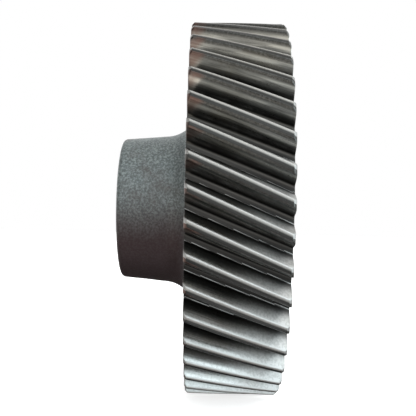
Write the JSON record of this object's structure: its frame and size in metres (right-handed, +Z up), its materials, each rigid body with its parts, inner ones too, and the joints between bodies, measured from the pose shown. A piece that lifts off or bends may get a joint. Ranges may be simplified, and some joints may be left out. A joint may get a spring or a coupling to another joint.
{
  "type": "helical gear",
  "caption": "Right-hand helical gear with a forged hub on one side, a keyed bore, its key and set screws; carries torque between parallel shafts.",
  "frame": {"origin": "on the gear's axis, at the middle of its total length", "axes": "+Y along the axis from the hub towards the rim's back face, -X towards the key, +Z up"},
  "size_m": [0.119, 0.0504, 0.119],
  "materials": {
    "gear_steel": "machined teeth and faces, hub and web as forged",
    "key_steel": "bright drawn key steel",
    "screw_steel": "black oxide"
  },
  "bodies": {
    "root": {"gear_forging": "gear_steel", "parallel_key": "key_steel", "set_screw_over_key": "screw_steel", "set_screw_side": "screw_steel"}
  },
  "joints": []
}
